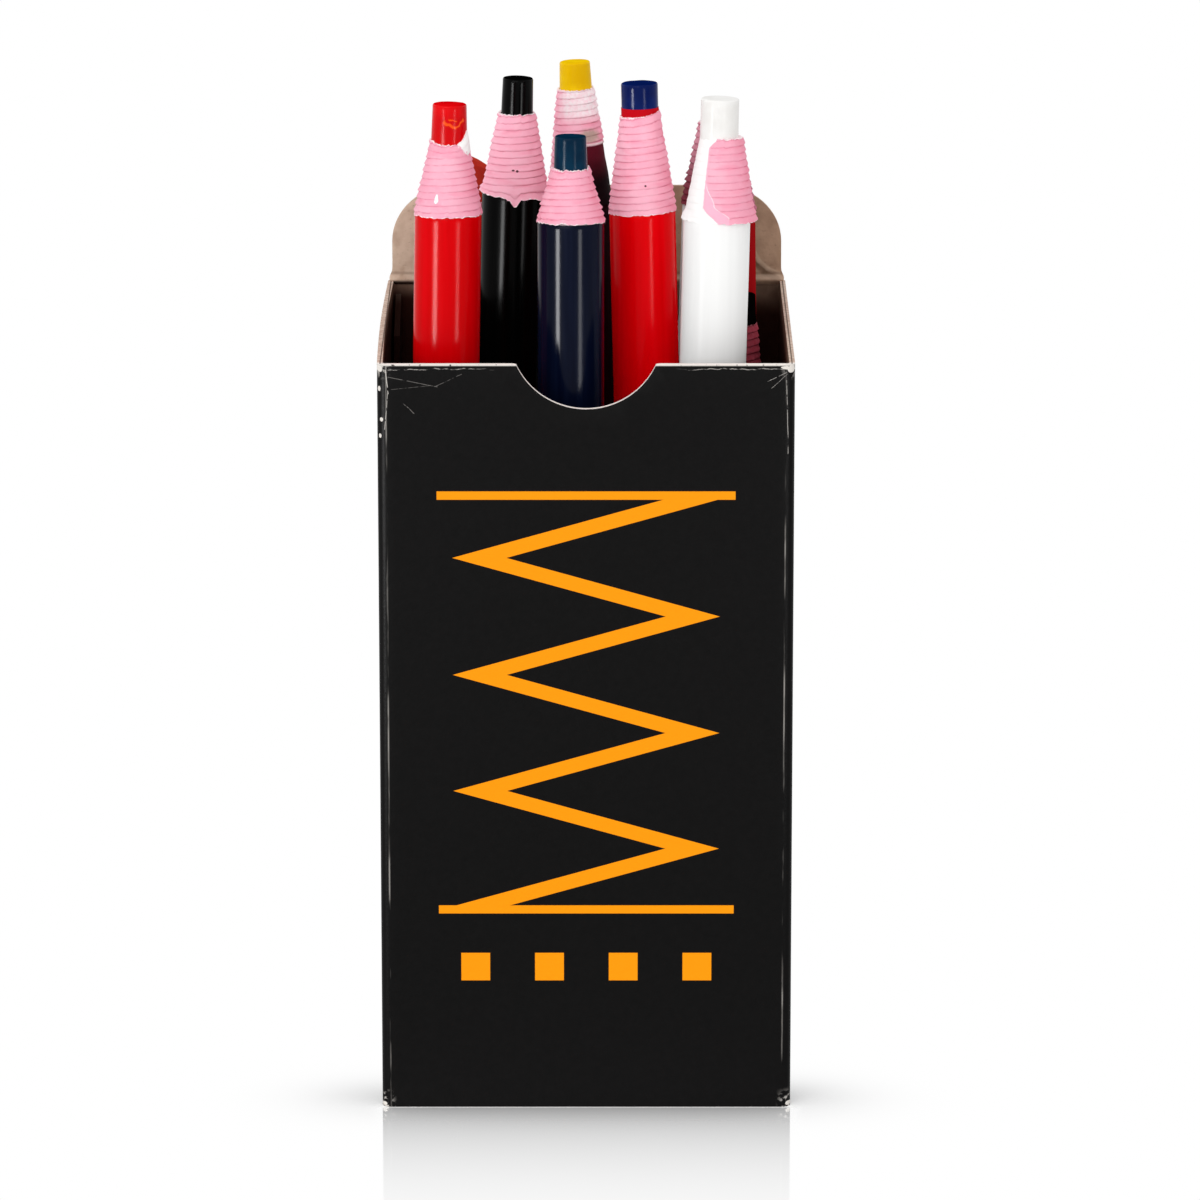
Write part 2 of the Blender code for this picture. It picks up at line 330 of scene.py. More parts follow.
printed = Finish("printed_board", Specular_IOR_Level=0.04)
x, y, z = printed.millimetres()
half = carton_half * 1000
wall_top = carton_height * 1000
front = y.math("LESS_THAN", -half + 0.2)
ink = printed.mix(printed.grain(900.0, 4.0), tint(9, 9, 9), tint(16, 15, 15))
ink = printed.mix(print_mask(x, z) * front, ink, tint(255, 153, 10))
fibres = printed.grain(1400.0, 5.0)
streaks = printed.grain(700.0, 4.0, stretch=(1.0, 1.0, 0.12))
fold_place = abs(abs(x) - (half - 1.25)) + abs(abs(y) - half) * 0.5
fold_place = fold_place.math("MINIMUM", abs(abs(y) - (half - 1.25)) + abs(abs(x) - half) * 0.5)
worn = (1 - fold_place.ramp(0.03, 0.16)) * streaks.ramp(0.44, 0.66) * 0.4
corner_end = (z * -1 + 3.0).ramp(0.0, 2.6) | (z - wall_top + 2.4).ramp(0.0, 2.2)
corner_place = (abs(x) - half + 2.2).ramp(0.0, 2.2) * (abs(y) - half + 2.2).ramp(0.0, 2.2)
worn = worn | corner_end * corner_place * fibres.ramp(0.5, 0.58)
worn = worn | (z - wall_top + 0.3).ramp(0.0, 0.2) * fibres.ramp(0.3, 0.42)
scuff = 1 - abs(z - wall_top + 0.68 + (streaks - 0.5) * 0.7).ramp(0.02, 0.08)
worn = worn | scuff * fibres.ramp(0.36, 0.62) * (abs(x) - 12.0).ramp(0.0, 6.0) * front * 0.5
for start, end, width, strength in (
        ((-27.6, 107.0), (-20.8, 105.6), 0.06, 0.18), ((-27.2, 105.2), (-21.6, 105.8), 0.05, 0.13),
        ((-21.0, 105.7), (-17.4, 107.4), 0.05, 0.18), ((-25.6, 103.4), (-24.0, 101.8), 0.06, 0.25),
        ((28.3, 107.8), (25.4, 106.4), 0.04, 0.6), ((28.2, 107.5), (25.9, 105.4), 0.035, 0.5),
        ((-28.0, 108.4), (-27.6, 104.6), 0.07, 0.9), ((-27.7, 104.6), (-28.1, 99.5), 0.06, 0.6),
        ((28.0, 106.5), (28.2, 96.0), 0.07, 0.5)):
    scratch = worn_line(x + (streaks - 0.5) * 0.5, z, start, end, width) * fibres.ramp(0.36, 0.52)
    worn = worn | scratch * front * strength
near_front = y.math("LESS_THAN", -half + 1.4)
for chip in (
        (28.7, 108.2, 0.5, 0.6), (27.9, 108.35, 0.7, 0.25), (-28.9, 108.2, 0.5, 0.55),
        (-28.9, 105.3, 0.2, 0.4), (-28.6, 100.9, 0.22, 0.3), (-28.8, 98.5, 0.22, 0.36),
        (-28.9, 0.4, 0.4, 0.3), (28.9, 0.5, 0.45, 0.35)):
    worn = worn | blot(x, z, chip, fibres) * near_front
worn = worn * (1 - (z - wall_top).ramp(0.05, 0.25))
printed.feed("Base Color", printed.mix(worn, ink, tint(226, 220, 213)))
printed.feed("Roughness", 0.42 + worn * 0.35 + (fibres - 0.5) * 0.12)
printed.relief(printed.grain(2200.0, 3.0) + worn * 0.6, 0.22, 0.00012)

raw_board = Finish("raw_board", Specular_IOR_Level=0.05)
pulp = raw_board.grain(420.0, 6.0)
flecks = raw_board.grain(2100.0, 3.0, stretch=(1.0, 1.0, 0.5))
tone = raw_board.mix(pulp.ramp(0.3, 0.7), tint(104, 82, 69), tint(128, 104, 88))
tone = raw_board.mix(flecks.ramp(0.62, 0.72), tone, tint(112, 92, 78))
x, _, z = raw_board.millimetres()
# Painted shade: the inside face darkens to deep brown within a few millimetres below the rim, more
# gradually towards the right.
reach = 3.0 + x.ramp(-18.0, 16.0) * 2.5
tone = raw_board.mix((wall_top - z).ramp(0.0, reach), tone, tint(46, 22, 16))
raw_board.feed("Base Color", tone)
raw_board.feed("Roughness", 0.78 + (flecks - 0.5) * 0.2)
raw_board.relief(raw_board.grain(1700.0, 4.0), 0.35, 0.00016)

cut_board = Finish("cut_board", Specular_IOR_Level=0.05)
x, y, _ = cut_board.millimetres()
plies = cut_board.grain(1500.0, 3.0)
tone = cut_board.mix(plies.ramp(0.35, 0.65), tint(192, 166, 149), tint(218, 198, 183))
tone = cut_board.mix(1 - y.ramp(0.9 - half, 1.4 - half), tone, tint(250, 242, 236))
inward = (half - abs(x)).math("MINIMUM", half - abs(y))
core_ply = (1 - abs(inward - 0.43).ramp(0.05, 0.13)) * (abs(x) - half + 1.4).ramp(0.0, 0.2)
tone = cut_board.mix(core_ply * 0.8, tone, tint(62, 44, 38))
cut_board.feed("Base Color", tone)
cut_board.feed("Roughness", 0.8 + (plies - 0.5) * 0.15)
cut_board.relief(cut_board.grain(3000.0, 3.0), 0.4, 0.00012)

for finish in (printed, raw_board, cut_board):
    sleeve.data.materials.append(finish.material)
for face in sleeve.data.polygons:
    depth = board_depth(face.center) / board
    if abs(face.normal.z) > 0.5 or 0.2 < depth < 0.8:
        face.material_index = cut_face
    else:
        face.material_index = printed_face if depth < 0.5 else raw_face
# The left wall bows out a little towards its free upper edge.
for vertex in sleeve.data.vertices:
    along = (vertex.co.y + carton_half) / (2 * carton_half)
    if vertex.co.x < 0.0015 - carton_half and 0.0 < along < 1.0:
        vertex.co.x -= wall_bow * math.sin(math.pi * along) * (vertex.co.z / carton_height) ** 3
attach(sleeve, "carton")
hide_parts("carton_sleeve")


# Bottom panel, dust flaps and glue lap: leaves of the same sheet, folded in under the pencils and glued or
# tucked to the walls. Their solids stay as they are; the floor leaf's underside carries the black print.
inner_leaf = Finish("inner_leaf", Specular_IOR_Level=0.05)
_, _, z = inner_leaf.millimetres()
facing = inner_leaf.add("ShaderNodeTexCoord", {}, {}, "Normal")
underside = inner_leaf.add("ShaderNodeSeparateXYZ", {}, {0: facing}, "Z").math("LESS_THAN", -0.5)
pulp = inner_leaf.grain(420.0, 6.0)
tone = inner_leaf.mix(pulp.ramp(0.3, 0.7), tint(150, 130, 113), tint(186, 167, 148))
tone = inner_leaf.mix(inner_leaf.grain(2100.0, 3.0).ramp(0.62, 0.72), tone, tint(112, 92, 78))
# Painted shade: the leaves turn dark brown from about the rim's height downwards.
tone = inner_leaf.mix((wall_top - z).ramp(-2.0, 3.2), tone, tint(40, 20, 15))
inner_leaf.feed("Base Color", inner_leaf.mix(underside, tone, tint(20, 20, 20)))
inner_leaf.feed("Roughness", 0.78 - underside * 0.3)
inner_leaf.relief(inner_leaf.grain(1700.0, 4.0), 0.35, 0.00016)
for name in ("carton_bottom_panel", "carton_dust_flap_left", "carton_dust_flap_right", "carton_glue_lap"):
    frame["nodes"][name].material_slots[0].material = inner_leaf.material


# Lid flap: the rear leaf of the lid, the same board with two rounded corners, black outside, raw inside. A
# crease with a bead along it joins it to the back wall.
fold = next(joint for joint in frame["joints"] if joint["name"] == "lid_fold")
hinge = Vector(fold["pos_m"])
flap_lean = math.radians(4.0)
flap_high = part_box("carton_lid_flap")[1]
flap_half = flap_high.x
flap_top = (flap_high.z - hinge.z) / math.cos(flap_lean)
flap_foot = -0.0007
flap_corner_width = 0.0094
flap_corner_height = 0.0082
flap_face = 0.00015
flap_rounding = 0.00008
wrinkle = ((24.4, 4.6), (25.3, 2.9), (26.6, 1.7), (28.2, 1.0))


def soft_step(value, low, high):
    share = max(0.0, min(1.0, (value - low) / (high - low)))
    return share * share * (3 - 2 * share)


def distance_to_path(point, path):
    """Least distance in a plane from a point to a chain of straight pieces."""
    least = 1.0e9
    for start, end in zip(path, path[1:]):
        run = Vector(end) - Vector(start)
        reach = Vector(point) - Vector(start)
        share = max(0.0, min(1.0, reach.dot(run) / run.length_squared))
        least = min(least, (reach - share * run).length)
    return least


squeeze = flap_corner_height / flap_corner_width
bpy.ops.mesh.primitive_cube_add(
    size=1.0, scale=(2 * flap_half * squeeze, board, flap_top - flap_foot),
    location=(0.0, -flap_face - board / 2, (flap_top + flap_foot) / 2))
flap = new_piece("lid_flap_board")


def on_top_corner(edge):
    ends = ends_of(flap, edge)
    return abs(ends[0].y - ends[1].y) > board / 2 and min(end.z for end in ends) > flap_top / 2


select_parts(flap, "edges", on_top_corner)
bpy.ops.mesh.bevel(offset=flap_corner_height, offset_type="OFFSET", segments=16, affect="EDGES")
bpy.ops.mesh.select_all(action="SELECT")
bpy.ops.transform.resize(value=(1.0 / squeeze, 1.0, 1.0), center_override=(0.0, 0.0, 0.0))
for place in np.linspace(-flap_half, flap_half, 74)[1:-1]:
    bpy.ops.mesh.select_all(action="SELECT")
    bpy.ops.mesh.bisect(plane_co=(place, 0.0, 0.0), plane_no=(1.0, 0.0, 0.0))
for place in (*np.linspace(-0.0006, 0.0014, 14), *np.linspace(0.0018, flap_top - 0.0005, 16)):
    bpy.ops.mesh.select_all(action="SELECT")
    bpy.ops.mesh.bisect(plane_co=(0.0, 0.0, place), plane_no=(0.0, 0.0, 1.0))
bpy.ops.object.mode_set(mode="OBJECT")
apply_modifier(flap, "BEVEL", width=flap_rounding, **cut_edges)
for face in flap.data.polygons:
    face.material_index = cut_face
    if abs(face.normal.y) > 0.7:
        face.material_index = raw_face if face.normal.y < 0 else printed_face
for vertex in flap.data.vertices:
    point = vertex.co * 1000
    inside = point.y < -(flap_face + board / 2) * 1000
    bead = math.exp(-((point.z + 0.1) / 0.5) ** 2)
    away = distance_to_path((point.x, point.z), wrinkle)
    below = distance_to_path((point.x + 0.5, point.z + 0.9), wrinkle)
    shift = -0.32 * math.exp(-(away / 0.32) ** 2) + 0.25 * math.exp(-(below / 0.6) ** 2)
    shift += 0.10 * noise.noise(Vector((point.x * 0.12, 0.0, point.z * 0.2)))
    shift *= min(1.0, max(0.0, (point.z - 0.6) / 1.2))
    swell = -0.26 if inside else 0.12
    ear = soft_step(abs(point.x), flap_half * 1000 - 3.0, flap_half * 1000)
    ear *= math.exp(-((point.z - 0.3) / 0.75) ** 2)
    swell -= 0.5 * ear
    vertex.co.x += math.copysign(0.42 * ear, point.x) / 1000
    vertex.co.y += (shift + swell * bead) / 1000
flap.data.transform(Matrix.Translation(hinge) @ Matrix.Rotation(-flap_lean, 4, "X"))
above_fold = flap.data.attributes.new("above_fold", "FLOAT", "POINT")
for vertex in flap.data.vertices:
    above_fold.data[vertex.index].value = (vertex.co.z - hinge.z) * 1000
bpy.ops.object.shade_smooth_by_angle(angle=math.radians(50))

flap_inside = Finish("flap_inside", Specular_IOR_Level=0.05)
x, _, _ = flap_inside.millimetres()
pulp = flap_inside.grain(420.0, 6.0)
tone = flap_inside.mix(pulp.ramp(0.3, 0.7), tint(186, 160, 140), tint(208, 184, 163))
# Painted shade: the inside of the flap darkens towards its right side.
shade = flap_inside.mix(pulp.ramp(0.3, 0.7), tint(158, 127, 105), tint(178, 146, 122))
tone = flap_inside.mix(x.ramp(-22.0, 22.0), tone, shade)
flecks = flap_inside.grain(1500.0, 3.0, stretch=(1.0, 1.0, 1.6))
tone = flap_inside.mix(flecks.ramp(0.6, 0.74) * 0.4, tone, tint(118, 95, 78))
stain = flap_inside.grain(300.0, 4.0).ramp(0.62, 0.72)
rise = flap_inside.add("ShaderNodeAttribute", {"attribute_name": "above_fold"}, {}, "Fac")
waver = (pulp - 0.5) * 0.8
# Painted highlight along the wrinkle's ridge and painted shadow in the hollow beside it.
for start, end in zip(wrinkle, wrinkle[1:]):
    ridge = worn_line(x, rise + waver * 0.4, start, end, 0.5)
    hollow = worn_line(x + 0.35, rise + waver * 0.4 + 0.55, start, end, 0.7)
    tone = flap_inside.mix(hollow * 0.5, tone, tint(112, 86, 68))
    tone = flap_inside.mix(ridge * 0.6, tone, tint(206, 178, 154))
# A darker line along the crease, and a painted highlight on the bead below it.
crease = 1 - abs(rise - 1.05 + waver * 0.5).ramp(0.05, 0.35)
bead_highlight = 1 - abs(rise - 0.5 + waver * 0.3).ramp(0.15, 0.5)
tone = flap_inside.mix(crease * 0.35, tone, tint(112, 88, 72))
tone = flap_inside.mix(bead_highlight * 0.4, tone, tint(214, 190, 170))
tone = flap_inside.mix(stain * 0.35, tone, tint(150, 118, 88))
# Painted shade: below the fold the flap turns dark brown, most of all on the left.
shade_below_fold = (1 - rise.ramp(-0.35, 0.2)) * (1 - x.ramp(-18.0, 18.0) * 0.7)
tone = flap_inside.mix(shade_below_fold, tone, tint(46, 30, 24))
flap_inside.feed("Base Color", tone)
flap_inside.feed("Roughness", 0.8 + (flecks - 0.5) * 0.2)
flap_inside.relief(flap_inside.grain(1700.0, 4.0), 0.4, 0.00016)
for finish in (printed, flap_inside, cut_board):
    flap.data.materials.append(finish.material)
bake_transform(flap)
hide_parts("carton_lid_flap")


# Wax cores: cast rods of coloured wax, rubbed round at the rim and a little narrower at the tip from use.
# Each is glued inside its wound paper; one is broken off at a slant.
Stick = namedtuple("Stick", "name place length core_radius body_radius wrap_radius lip top")


def measure(name):
    """Read one pencil's place and sizes off its solids; heights run along its axis from the foot."""
    pull = next(joint for joint in frame["joints"] if joint["name"] == name + "_pull")
    axis = Vector(pull["axis"]).normalized()
    places = {}
    for kind in ("core", "paper_wrap", "sheath"):
        mesh = frame["nodes"][f"{name}_{kind}"].data
        places[kind] = np.array([vertex.co for vertex in mesh.vertices])
    heights = {kind: points @ np.array(axis) for kind, points in places.items()}
    ground = heights["sheath"].min()
    foot = Vector(places["sheath"][heights["sheath"] < ground + 1e-5].mean(0))

    def widest(kind, high=1.0):
        points = places[kind][heights[kind] - ground < high] - np.array(foot)
        aside = points - np.outer(points @ np.array(axis), np.array(axis))
        return float(np.linalg.norm(aside, axis=1).max())

    def tallest(kind):
        return float(heights[kind].max() - ground)

    turn = Vector((0.0, 0.0, 1.0)).rotation_difference(axis).to_matrix().to_4x4()
    return Stick(name, Matrix.Translation(foot) @ turn, tallest("core"), widest("core"), widest("sheath"),
                 widest("paper_wrap", high=0.05), tallest("sheath"), tallest("paper_wrap"))


def turn_profile(name, profile, sides, hollow):
    """Form the rings of a tube to (radius, height) points, then bridge its bore or fill its two ends."""
    rows = len(profile)
    bpy.ops.mesh.primitive_cylinder_add(
        vertices=sides, radius=1.0, depth=1.0, end_fill_type="NOTHING", location=(0.0, 0.0, 0.5))
    piece = new_piece(name)

    def runs_up(edge):
        first, second = ends_of(piece, edge)
        return abs(first.z - second.z) > 0.5

    select_parts(piece, "edges", runs_up)
    bpy.ops.mesh.subdivide(number_cuts=rows - 2)
    bpy.ops.object.mode_set(mode="OBJECT")
    for vertex in piece.data.vertices:
        radius, height = profile[round(vertex.co.z * (rows - 1))]
        vertex.co = (vertex.co.x * radius, vertex.co.y * radius, height)
    bpy.ops.object.mode_set(mode="EDIT")
    bpy.ops.mesh.select_all(action="DESELECT")
    bpy.ops.mesh.select_non_manifold()
    if hollow:
        bpy.ops.mesh.bridge_edge_loops()
    else:
        bpy.ops.mesh.fill_holes(sides=0)
    face_outwards()
    return piece


def lay_round(piece, zero):
    """Lay a UV map round a piece: a full turn across, the front in the middle, 10 mm a unit above zero."""
    mesh = piece.data
    layer = mesh.uv_layers.new(name="round")
    for face in mesh.polygons:
        points = [mesh.vertices[mesh.loops[loop].vertex_index].co for loop in face.loop_indices]
        turns = [math.atan2(point.x, -point.y) / math.tau + 0.5 for point in points]
        if max(turns) - min(turns) > 0.5:
            turns = [turn + 1.0 if turn < 0.5 else turn for turn in turns]
        for loop, turn, point in zip(face.loop_indices, turns, points):
            layer.data[loop].uv = (turn, (point.z - zero) * 100)


def round_place(finish):
    """Degrees from the front towards the right, and millimetres above the map's zero."""
    place = finish.add("ShaderNodeUVMap", {"uv_map": "round"}, {})
    axes = finish.add("ShaderNodeSeparateXYZ", {}, {0: place})
    return axes.output("X") * 360 - 180, axes.output("Y") * 10


def set_in_place(piece, stick, kind, slot, zero, sharp, *materials):
    """Give a piece its map and materials, bring it to its pencil's place and hand it over."""
    lay_round(piece, zero)
    piece.data.transform(stick.place)
    bpy.ops.object.shade_smooth_by_angle(angle=math.radians(sharp))
    for material in materials:
        piece.data.materials.append(material)
    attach(piece, stick.name)
    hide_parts(f"{stick.name}_{kind}")


def wax(name, colour, deep, gloss=0.04, smear=()):
    finish = Finish(name, Specular_IOR_Level=gloss)
    angle, height = round_place(finish)
    cloud = finish.grain(260.0, 4.0)
    tone = finish.mix(cloud.ramp(0.35, 0.7), deep, colour)
    for start, end, width in smear:
        ragged = height + (finish.grain(1500.0, 3.0) - 0.5) * 0.9
        stroke = worn_line(angle * 0.041, ragged, start, end, width)
        tone = finish.mix(stroke * 0.75, tone, tint(255, 96, 26))
    finish.feed("Base Color", tone)
    rub = finish.grain(1100.0, 3.0, stretch=(1.0, 1.0, 0.2))
    finish.feed("Roughness", 0.14 + rub.ramp(0.4, 0.75) * 0.1)
    finish.relief(rub * 0.6 + finish.grain(2500.0, 2.0) * 0.4, 0.04, 0.0001)
    return finish.material


def cast_core(name, material, slot, slant=0.0, foot=1.0, tip=0.945):
    """Foot and tip are the girth of the bare wax where it leaves the paper and at its rim."""
    stick = sticks[name]
    radius = stick.core_radius
    foot *= radius
    tip *= radius
    length = stick.length - radius * math.tan(math.radians(slant))
    profile = [(0.0001, 0.0), (radius * 0.96, 0.0), (radius, 0.0001), (radius, stick.top - 0.003),
               (foot, stick.top - 0.0005), (foot, stick.top), ((foot + tip) / 2, (stick.top + length) / 2),
               (tip, length - 0.0006), (tip, length - 0.00032)]
    profile += [(tip - 0.0003 * (1 - math.cos(turn)), length - 0.0003 * (1 - math.sin(turn)))
                for turn in (0.4, 0.8, 1.2, math.pi / 2)]
    profile += [(tip * share, length) for share in (0.7, 0.45, 0.2, 0.02)]
    core = turn_profile(stick.name + "_wax_core", profile, 64, hollow=False)
    slope = math.tan(math.radians(slant))
    for vertex in core.data.vertices:
        place = vertex.co * 1000
        if vertex.co.z > stick.top:
            vertex.co.z -= slope * vertex.co.x
            rough = 1.0 if slant else 0.3
            vertex.co.z += 0.00012 * rough * noise.noise(place * 0.9) * (vertex.co.z - stick.top) / 0.006
        vertex.co.xy *= 1 + 0.008 * noise.noise(place * 0.35)
    for face in core.data.polygons:
        face.material_index = 1 if face.normal.z > 0.7 else 0
    rubbed_end = material.copy()
    rubbed_end.node_tree.nodes["Principled BSDF"].inputs["Specular IOR Level"].default_value = 0.0
    set_in_place(core, stick, "core", slot, stick.top, 45, material, rubbed_end)


sticks = {name: measure(name) for name in frame["bodies"] if name.endswith("_pencil")}
red_wax = wax(
    "red_wax", tint(226, 8, 14), tint(205, 0, 8), gloss=0.075,
    smear=(((-0.65, 2.9), (0.85, 2.1), 0.28), ((0.85, 2.1), (2.2, 3.2), 0.22),
           ((0.0, 3.35), (1.0, 3.1), 0.16)))
cast_core("red_pencil", red_wax, "red_wax", foot=1.08, tip=1.02)
cast_core("rear_red_pencil", red_wax, "red_wax")
cast_core("navy_pencil", wax("teal_wax", tint(6, 48, 72), tint(4, 34, 56)), "teal_wax")
cast_core("blue_pencil", wax("blue_wax", tint(8, 32, 100), tint(4, 22, 80), 0.06), "blue_wax",
          foot=1.11, tip=1.11)
white_wax = wax("white_wax", tint(243, 242, 240), tint(235, 233, 230))
cast_core("white_pencil", white_wax, "white_wax", foot=1.15, tip=1.14)
cast_core("rear_white_pencil", white_wax, "white_wax")
black_wax = wax("black_wax", tint(5, 5, 5), tint(2, 2, 2), gloss=0.045)
cast_core("black_pencil", black_wax, "black_wax", foot=0.97, tip=0.93)
dull_black = wax("dull_black_wax", tint(6, 5, 5), tint(3, 2, 2), gloss=0.0)
cast_core("short_black_pencil", dull_black, "black_wax")
cast_core("yellow_pencil", wax("yellow_wax", tint(244, 204, 14), tint(232, 184, 6)), "yellow_wax")
terracotta_wax = wax("terracotta_wax", tint(190, 60, 44), tint(172, 44, 34), gloss=0.0)
cast_core("brown_pencil", terracotta_wax, "terracotta_wax", slant=25.0)


# Sheaths: the outer skin of each pencil below its cone, a thin paper tube rolled over the wound paper and
# dipped in gloss lacquer. Plain, with fine lengthwise brushing from handling.
sheath_wall = 0.00035
rim_round = 0.00008
rim_rise = 0.0003


def lacquer(name, colour, deep, gloss=0.035):
    finish = Finish(name, Specular_IOR_Level=gloss)
    streak = finish.grain(900.0, 4.0, stretch=(1.0, 1.0, 0.03))
    tone = finish.mix(streak.ramp(0.35, 0.7), deep, colour)
    finish.feed("Base Color", tone)
    finish.feed("Roughness", 0.15 + streak.ramp(0.4, 0.75) * 0.1)
    finish.relief(streak * 0.5 + finish.grain(500.0, 2.0) * 0.5, 0.025, 0.0001)
    return finish.material


def roll_sheath(name, material, slot):
    stick = sticks[name]
    radius = stick.body_radius
    bore = radius - sheath_wall
    rim = radius - rim_round
    top = stick.lip + rim_rise
    profile = [(bore, 0.0), (rim, 0.0), (radius, rim_round), (radius, 0.0004),
               (radius, stick.lip - 0.0004), (radius, stick.lip), (rim, top), (bore, top)]
    sheath = turn_profile(stick.name + "_lacquered_sheath", profile, 72, hollow=True)
    set_in_place(sheath, stick, "sheath", slot, stick.lip, 45, material)


black_lacquer = lacquer("black_lacquer", tint(4, 4, 4), tint(2, 2, 2), 0.03)
white_lacquer = lacquer("white_lacquer", tint(248, 248, 247), tint(245, 245, 244), 0.012)
# Painted shade: a darker copy of the red lacquer for the rear red pencil, which stands in shade.
old_red_lacquer = lacquer("old_red_lacquer", tint(158, 20, 24), tint(150, 16, 20), 0.0)
for name, material, slot in (
        ("red_pencil", lacquer("red_lacquer", tint(217, 0, 9), tint(207, 0, 4)), "red_sheath"),
        # Painted light: the blue pencil's red is a brighter copy of the red lacquer, against the shade of
        # its neighbours.
        ("blue_pencil", lacquer("bright_red_lacquer", tint(240, 0, 12), tint(232, 0, 6)), "red_sheath"),
        ("rear_red_pencil", old_red_lacquer, "red_sheath"),
        ("navy_pencil", lacquer("navy_lacquer", tint(8, 15, 36), tint(4, 9, 29), 0.06), "navy_sheath"),
        ("white_pencil", white_lacquer, "white_sheath"),
        ("rear_white_pencil", white_lacquer, "white_sheath"),
        ("black_pencil", black_lacquer, "black_sheath"),
        ("short_black_pencil", black_lacquer, "black_sheath"),
        ("yellow_pencil", lacquer("wine_lacquer", tint(34, 4, 11), tint(25, 2, 7)), "wine_sheath"),
        ("brown_pencil", lacquer("brown_lacquer", tint(98, 48, 38), tint(84, 38, 30)), "brown_sheath")):
    roll_sheath(name, material, slot)


# Paper wraps: a narrow pink paper strip wound many times round the core, so that a cone of ribbed turns is
# left where the outer turns have been peeled off. Torn edges show the white of the paper; it is glued on.
Wrap = namedtuple("Wrap", "rise tilt top_edge foot_edge flare swell bare smooth neck grip waist",
                  defaults=((0.0, 0.0), (), (), (), (), None, None, 0.0003, 1.025, 1.0))
strip_pitch = 0.00096
low_rib = 0.00023
high_rib = 0.00028
stub_rib = 0.00032
strip_rows = 10
strip_sides = 96
bore_gap = 0.00006
sheath_gap = 0.0002
foot_proud = 0.00012


def wind_strip(name, radius, pitch, turns):
    """A tube wound from one strip, each turn climbing to where the next one starts, with square ends."""
    bpy.ops.mesh.primitive_plane_add(
        size=pitch, location=(radius, 0.0, 0.0), rotation=(math.pi / 2, 0.0, 0.0))
    strip = new_piece(name)
    select_parts(strip, "vertices", lambda vertex: vertex.co.x > radius)
    bpy.ops.mesh.delete(type="VERT")
    bpy.ops.mesh.select_all(action="SELECT")
    bpy.ops.mesh.subdivide(number_cuts=strip_rows - 1)
    bpy.ops.object.mode_set(mode="OBJECT")
    apply_modifier(strip, "SCREW", axis="Z", angle=math.tau, screw_offset=pitch, iterations=turns + 1,
                   steps=strip_sides, render_steps=strip_sides)
    bpy.ops.object.mode_set(mode="EDIT")
    bpy.ops.mesh.select_all(action="SELECT")
    bpy.ops.mesh.remove_doubles(threshold=1e-6)
    bpy.ops.mesh.normals_make_consistent(inside=False)
    for level, part in ((pitch / 2, "clear_inner"), (pitch * (turns + 0.5), "clear_outer")):
        bpy.ops.mesh.select_all(action="SELECT")
        bpy.ops.mesh.bisect(
            plane_co=(0.0, 0.0, level), plane_no=(0.0, 0.0, 1.0), threshold=1e-7, **{part: True})
    bpy.ops.object.mode_set(mode="OBJECT")
    return strip


def edge_shift(bumps, angle):
    """How far a torn edge stands up at an angle, from bumps of (centre angle, half width, height)."""
    total = 0.0
    for centre, width, height in bumps:
        away = (angle - centre + 180.0) % 360.0 - 180.0
        total += height * math.exp(-(away / width) ** 2)
    return total


def ease(value, low, high):
    """The same soft step for a number while shaping and for a shader value while colouring."""
    return value.ramp(low, high) if isinstance(value, Signal) else soft_step(value, low, high)


